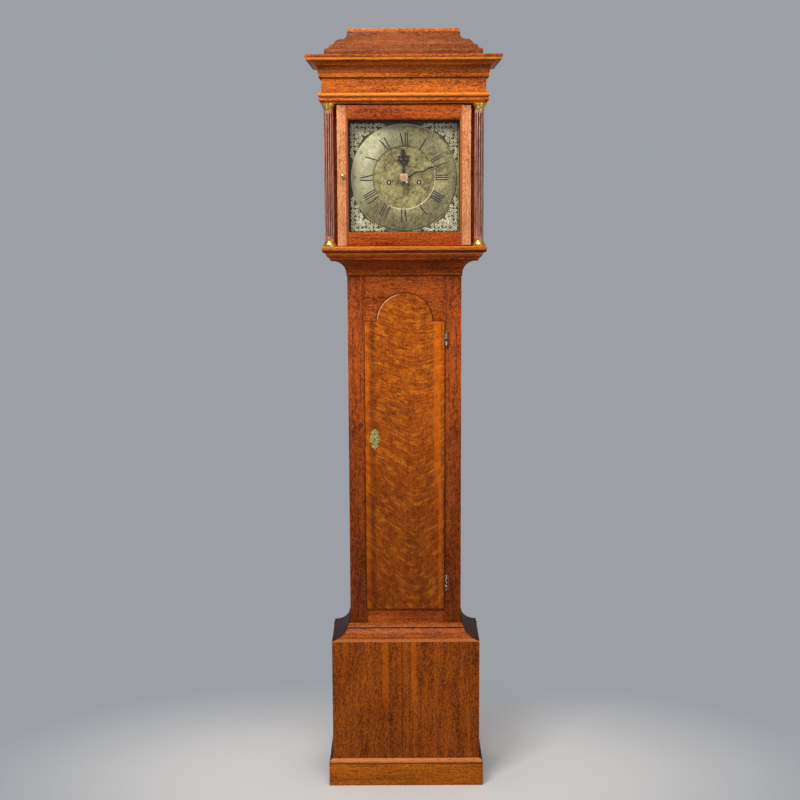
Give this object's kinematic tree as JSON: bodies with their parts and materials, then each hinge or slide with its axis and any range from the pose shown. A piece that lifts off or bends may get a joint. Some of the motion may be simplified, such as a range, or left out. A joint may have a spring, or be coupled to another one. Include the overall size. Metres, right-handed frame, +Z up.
{
  "type": "longcase clock",
  "caption": "Eight-day oak longcase clock with square brass dial, sliding hood with glazed door, arched trunk door, striking movement, pendulum and weights.",
  "frame": {"origin": "on the floor, at the middle of the overall box in width and depth", "axes": "+Z up; the dial and doors face -Y; +X is to the right when the dial is faced"},
  "size_m": [0.524, 0.29, 2.1384],
  "materials": {
    "oak": "waxed oak",
    "mahogany": "dark polished wood",
    "cast_brass": "polished cast brass",
    "dial_brass": "aged engraved brass",
    "clock_brass": "satin brass",
    "bell_metal": "turned bell metal",
    "iron": "black iron",
    "steel": "bright steel",
    "blued_steel": "blued steel",
    "glass": "thin clear glass",
    "gut": "twisted gut"
  },
  "bodies": {
    "case": {"backboard": "oak", "trunk_sides": "oak", "trunk_face_frame": "oak", "throat_mouldings": "oak", "base_front_boards": "oak", "base_sides": "oak", "base_mouldings": "oak", "plinth_boards": "oak", "seatboard": "oak", "line_leads": "gut", "trunk_hinge_plates": "iron", "movement_frame": "clock_brass", "dial_plate": "dial_brass", "chapter_ring": "dial_brass", "spandrels": "cast_brass", "bell": "bell_metal", "going_line": "gut", "strike_line": "gut"},
    "hood": {"hood_sides": "oak", "hood_frieze": "oak", "hood_architrave": "oak", "hood_cornice": "oak", "hood_roof_boards": "oak", "caddy_mouldings": "oak", "hood_base_mouldings": "oak", "dial_mask": "oak", "hood_columns": "mahogany", "column_brasses": "cast_brass"},
    "hood_door": {"hood_door_frame": "oak", "hood_door_glass": "glass", "hood_door_knob": "cast_brass", "hood_door_pivots": "iron"},
    "trunk_door": {"trunk_door": "oak", "trunk_door_hinge_leaves": "iron", "trunk_door_escutcheon": "cast_brass", "trunk_door_lock": "iron"},
    "centre_arbor": {"minute_hand": "blued_steel", "hand_collet": "cast_brass", "centre_wheel": "clock_brass"},
    "hour_pipe": {"hour_hand": "blued_steel", "hour_wheel": "clock_brass"},
    "minute_wheel": {"minute_wheel": "clock_brass"},
    "going_great_wheel": {"going_great_wheel": "clock_brass"},
    "third_wheel": {"third_wheel": "clock_brass"},
    "escape_wheel": {"escape_wheel": "clock_brass"},
    "going_barrel": {"going_barrel": "clock_brass"},
    "strike_barrel": {"strike_barrel": "clock_brass"},
    "strike_great_wheel": {"strike_great_wheel": "clock_brass"},
    "pin_wheel": {"pin_wheel": "clock_brass"},
    "gathering_wheel": {"gathering_wheel": "clock_brass"},
    "warning_wheel": {"warning_wheel": "clock_brass"},
    "fly": {"fly": "clock_brass"},
    "hammer": {"hammer": "steel"},
    "anchor": {"anchor": "steel"},
    "pendulum": {"pendulum_rod": "steel", "pendulum_bob": "cast_brass"},
    "going_weight": {"going_weight": "iron"},
    "going_pulley": {"going_pulley": "clock_brass"},
    "strike_weight": {"strike_weight": "iron"},
    "strike_pulley": {"strike_pulley": "clock_brass"}
  },
  "joints": [
    {"name": "hood_slide", "type": "slide", "parent": "case", "child": "hood", "axis": [0, -1, 0], "range_m": [0, 0.24]},
    {"name": "hood_door_hinge", "type": "hinge", "parent": "hood", "child": "hood_door", "pos_m": [0.176, -0.095, 1.739], "axis": [0, 0, 1], "range_deg": [0, 100]},
    {"name": "trunk_door_hinge", "type": "hinge", "parent": "case", "child": "trunk_door", "pos_m": [0.1165, -0.0371, 1.009], "axis": [0, 0, 1], "range_deg": [0, 150]},
    {"name": "minute_hand_turn", "type": "hinge", "parent": "case", "child": "centre_arbor", "pos_m": [0, 0.01, 1.739], "axis": [0, 1, 0], "continuous": true},
    {"name": "hour_hand_turn", "type": "hinge", "parent": "case", "child": "hour_pipe", "pos_m": [0, 0.01, 1.739], "axis": [0, 1, 0], "continuous": true},
    {"name": "minute_wheel_turn", "type": "hinge", "parent": "case", "child": "minute_wheel", "pos_m": [0, 0.01, 1.7102], "axis": [0, 1, 0], "continuous": true},
    {"name": "going_great_wheel_turn", "type": "hinge", "parent": "case", "child": "going_great_wheel", "pos_m": [0.041, 0.01, 1.726], "axis": [0, 1, 0], "continuous": true},
    {"name": "third_wheel_turn", "type": "hinge", "parent": "case", "child": "third_wheel", "pos_m": [0.01, 0.01, 1.76246], "axis": [0, 1, 0], "continuous": true},
    {"name": "escape_wheel_turn", "type": "hinge", "parent": "case", "child": "escape_wheel", "pos_m": [0, 0.01, 1.78211], "axis": [0, 1, 0], "continuous": true},
    {"name": "strike_great_wheel_turn", "type": "hinge", "parent": "case", "child": "strike_great_wheel", "pos_m": [-0.041, 0.01, 1.726], "axis": [0, 1, 0], "continuous": true},
    {"name": "pin_wheel_turn", "type": "hinge", "parent": "case", "child": "pin_wheel", "pos_m": [-0.04977, 0.01, 1.7659], "axis": [0, 1, 0], "continuous": true},
    {"name": "gathering_wheel_turn", "type": "hinge", "parent": "case", "child": "gathering_wheel", "pos_m": [-0.04325, 0.01, 1.79024], "axis": [0, 1, 0], "continuous": true},
    {"name": "warning_wheel_turn", "type": "hinge", "parent": "case", "child": "warning_wheel", "pos_m": [-0.02253, 0.01, 1.79778], "axis": [0, 1, 0], "continuous": true},
    {"name": "fly_turn", "type": "hinge", "parent": "case", "child": "fly", "pos_m": [-0.03163, 0.01, 1.81354], "axis": [0, 1, 0], "continuous": true},
    {"name": "hammer_lift", "type": "hinge", "parent": "case", "child": "hammer", "pos_m": [-0.07, 0.01, 1.817], "axis": [0, -1, 0], "range_deg": [0, 8]},
    {"name": "pendulum_swing", "type": "hinge", "parent": "case", "child": "pendulum", "pos_m": [0, 0.062, 1.80474], "axis": [0, 1, 0], "range_deg": [-2.5, 2.5]},
    {"name": "anchor_rock", "type": "hinge", "parent": "case", "child": "anchor", "pos_m": [0, 0.01, 1.80474], "axis": [0, 1, 0], "range_deg": [-2.5, 2.5]},
    {"name": "going_weight_rise", "type": "slide", "parent": "case", "child": "going_weight", "axis": [0, 0, 1], "range_m": [0, 1.192], "deforming": ["going_line"]},
    {"name": "going_barrel_wind", "type": "hinge", "parent": "case", "child": "going_barrel", "pos_m": [0.041, 0.01, 1.726], "axis": [0, 1, 0], "range_deg": [-5300, 5300]},
    {"name": "going_pulley_roll", "type": "hinge", "parent": "going_weight", "child": "going_pulley", "pos_m": [0.045, 0.018, 0.398], "axis": [0, 1, 0], "range_deg": [-3140, 3140]},
    {"name": "strike_weight_rise", "type": "slide", "parent": "case", "child": "strike_weight", "axis": [0, 0, 1], "range_m": [0, 1.192], "deforming": ["strike_line"]},
    {"name": "strike_barrel_wind", "type": "hinge", "parent": "case", "child": "strike_barrel", "pos_m": [-0.041, 0.01, 1.726], "axis": [0, 1, 0], "range_deg": [-5300, 5300]},
    {"name": "strike_pulley_roll", "type": "hinge", "parent": "strike_weight", "child": "strike_pulley", "pos_m": [-0.045, 0.018, 0.398], "axis": [0, 1, 0], "range_deg": [-3140, 3140]}
  ],
  "couplings": [
    {"joint": "hour_hand_turn", "follows": "minute_hand_turn", "ratio": 0.083333},
    {"joint": "minute_wheel_turn", "follows": "minute_hand_turn", "ratio": -1},
    {"joint": "going_great_wheel_turn", "follows": "minute_hand_turn", "ratio": -0.083333},
    {"joint": "third_wheel_turn", "follows": "minute_hand_turn", "ratio": -7.5},
    {"joint": "escape_wheel_turn", "follows": "minute_hand_turn", "ratio": 60},
    {"joint": "strike_great_wheel_turn", "follows": "pin_wheel_turn", "ratio": -0.10256},
    {"joint": "gathering_wheel_turn", "follows": "pin_wheel_turn", "ratio": -8},
    {"joint": "warning_wheel_turn", "follows": "pin_wheel_turn", "ratio": 64},
    {"joint": "fly_turn", "follows": "pin_wheel_turn", "ratio": -448},
    {"joint": "anchor_rock", "follows": "pendulum_swing", "ratio": 1},
    {"joint": "going_barrel_wind", "follows": "going_weight_rise", "rad_per_m": -77.519},
    {"joint": "going_pulley_roll", "follows": "going_weight_rise", "rad_per_m": -45.872},
    {"joint": "strike_barrel_wind", "follows": "strike_weight_rise", "rad_per_m": 77.519},
    {"joint": "strike_pulley_roll", "follows": "strike_weight_rise", "rad_per_m": 45.872}
  ]
}
